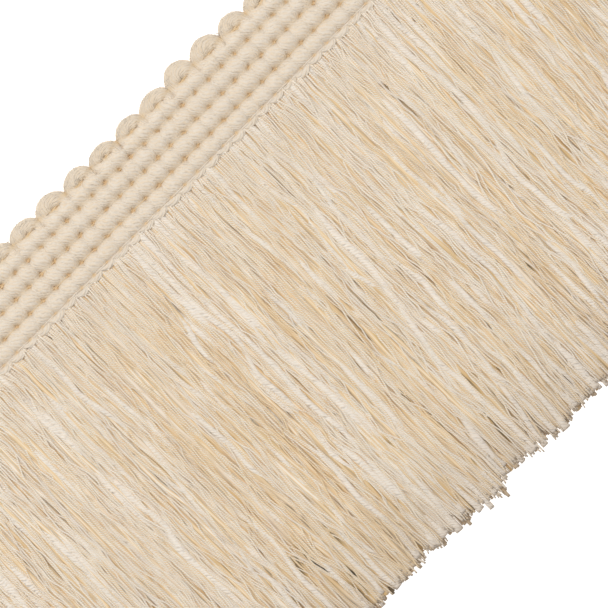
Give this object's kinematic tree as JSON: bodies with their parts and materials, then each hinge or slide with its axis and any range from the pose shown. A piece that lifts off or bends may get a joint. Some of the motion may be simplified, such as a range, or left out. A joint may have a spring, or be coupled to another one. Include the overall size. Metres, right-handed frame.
{
  "type": "cut fringe trim",
  "caption": "Flat length of cut fringe trim: a ribbed woven heading with a looped edge, a chain stitch below it and a long straight skirt of loose yarns.",
  "frame": {"origin": "on the sewing face, which is the flat back, at the middle of the length and of the four woven ribs", "axes": "+X along the trim, +Y across it from the cut ends to the looped edge, +Z out of its face"},
  "size_m": [0.1726, 0.1037, 0.0033],
  "materials": {
    "bulky_cotton": "matt, soft, loosely twisted natural cotton",
    "stitch_cotton": "matt natural cotton thread",
    "skirt_yarn": "fine natural yarns with a slight sheen, and thicker matt slubs"
  },
  "bodies": {
    "root": {"heading": "bulky_cotton", "chain_stitch": "stitch_cotton", "skirt": "skirt_yarn"}
  },
  "joints": []
}
